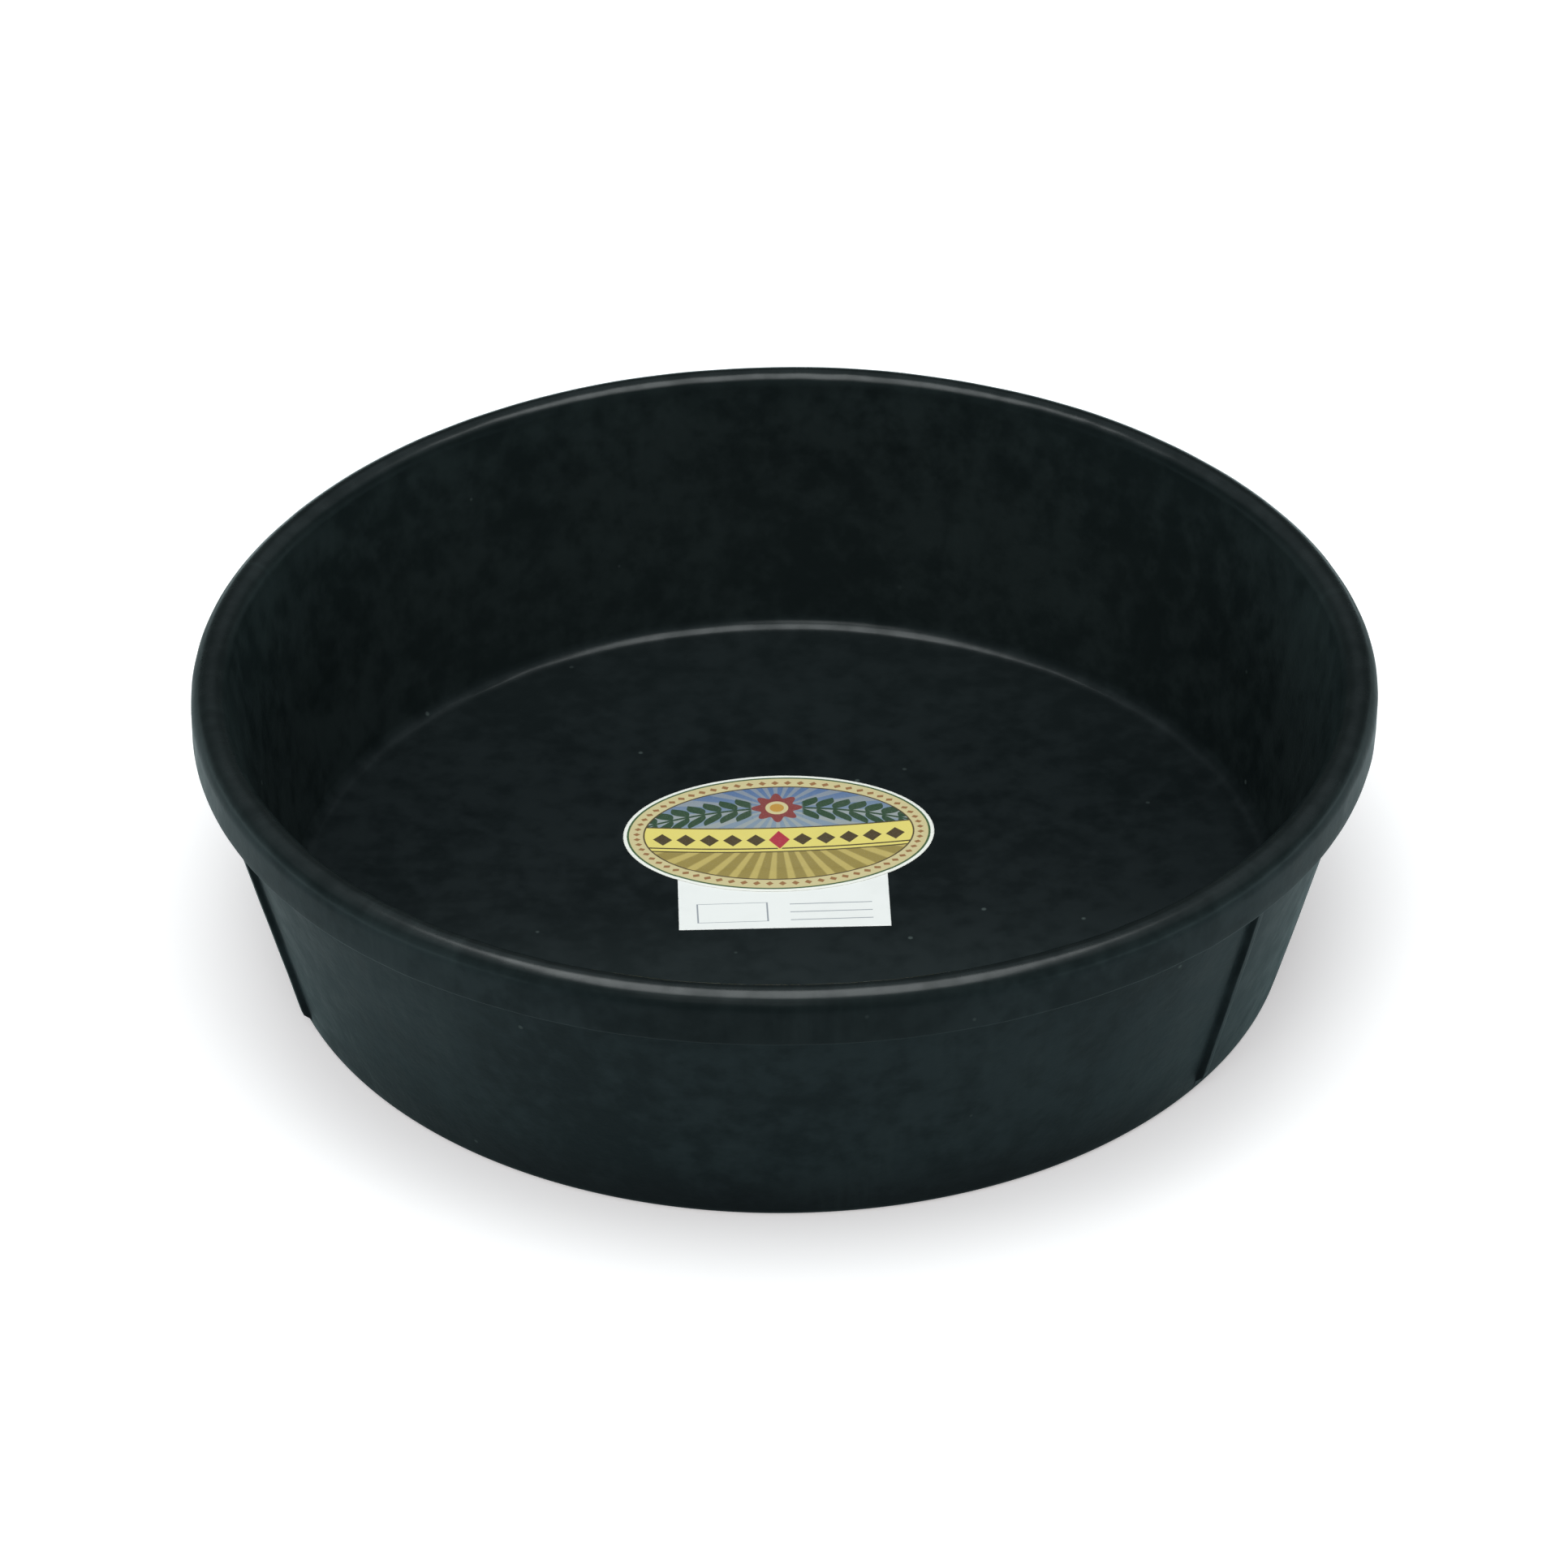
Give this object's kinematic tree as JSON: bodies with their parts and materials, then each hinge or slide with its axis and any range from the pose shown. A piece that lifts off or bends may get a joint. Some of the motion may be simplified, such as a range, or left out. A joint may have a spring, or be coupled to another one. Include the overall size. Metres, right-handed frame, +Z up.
{
  "type": "rubber feed tub",
  "caption": "Round shallow rubber feed tub with tapered walls, a rounded rim band, upright ribs outside and paper stickers on its floor.",
  "frame": {"origin": "on the ground, on the tub's axis", "axes": "+Z up along the tub's axis, the stickers read from -Y, +X to the right of a reader"},
  "size_m": [0.4239, 0.424, 0.11],
  "materials": {
    "black_rubber": "moulded, matt to satin, fine grain",
    "printed_paper": "printed, slightly glossy",
    "white_paper": "plain, matt"
  },
  "bodies": {
    "root": {"rubber_tub": "black_rubber", "picture_label": "printed_paper", "size_tag": "white_paper"}
  },
  "joints": []
}
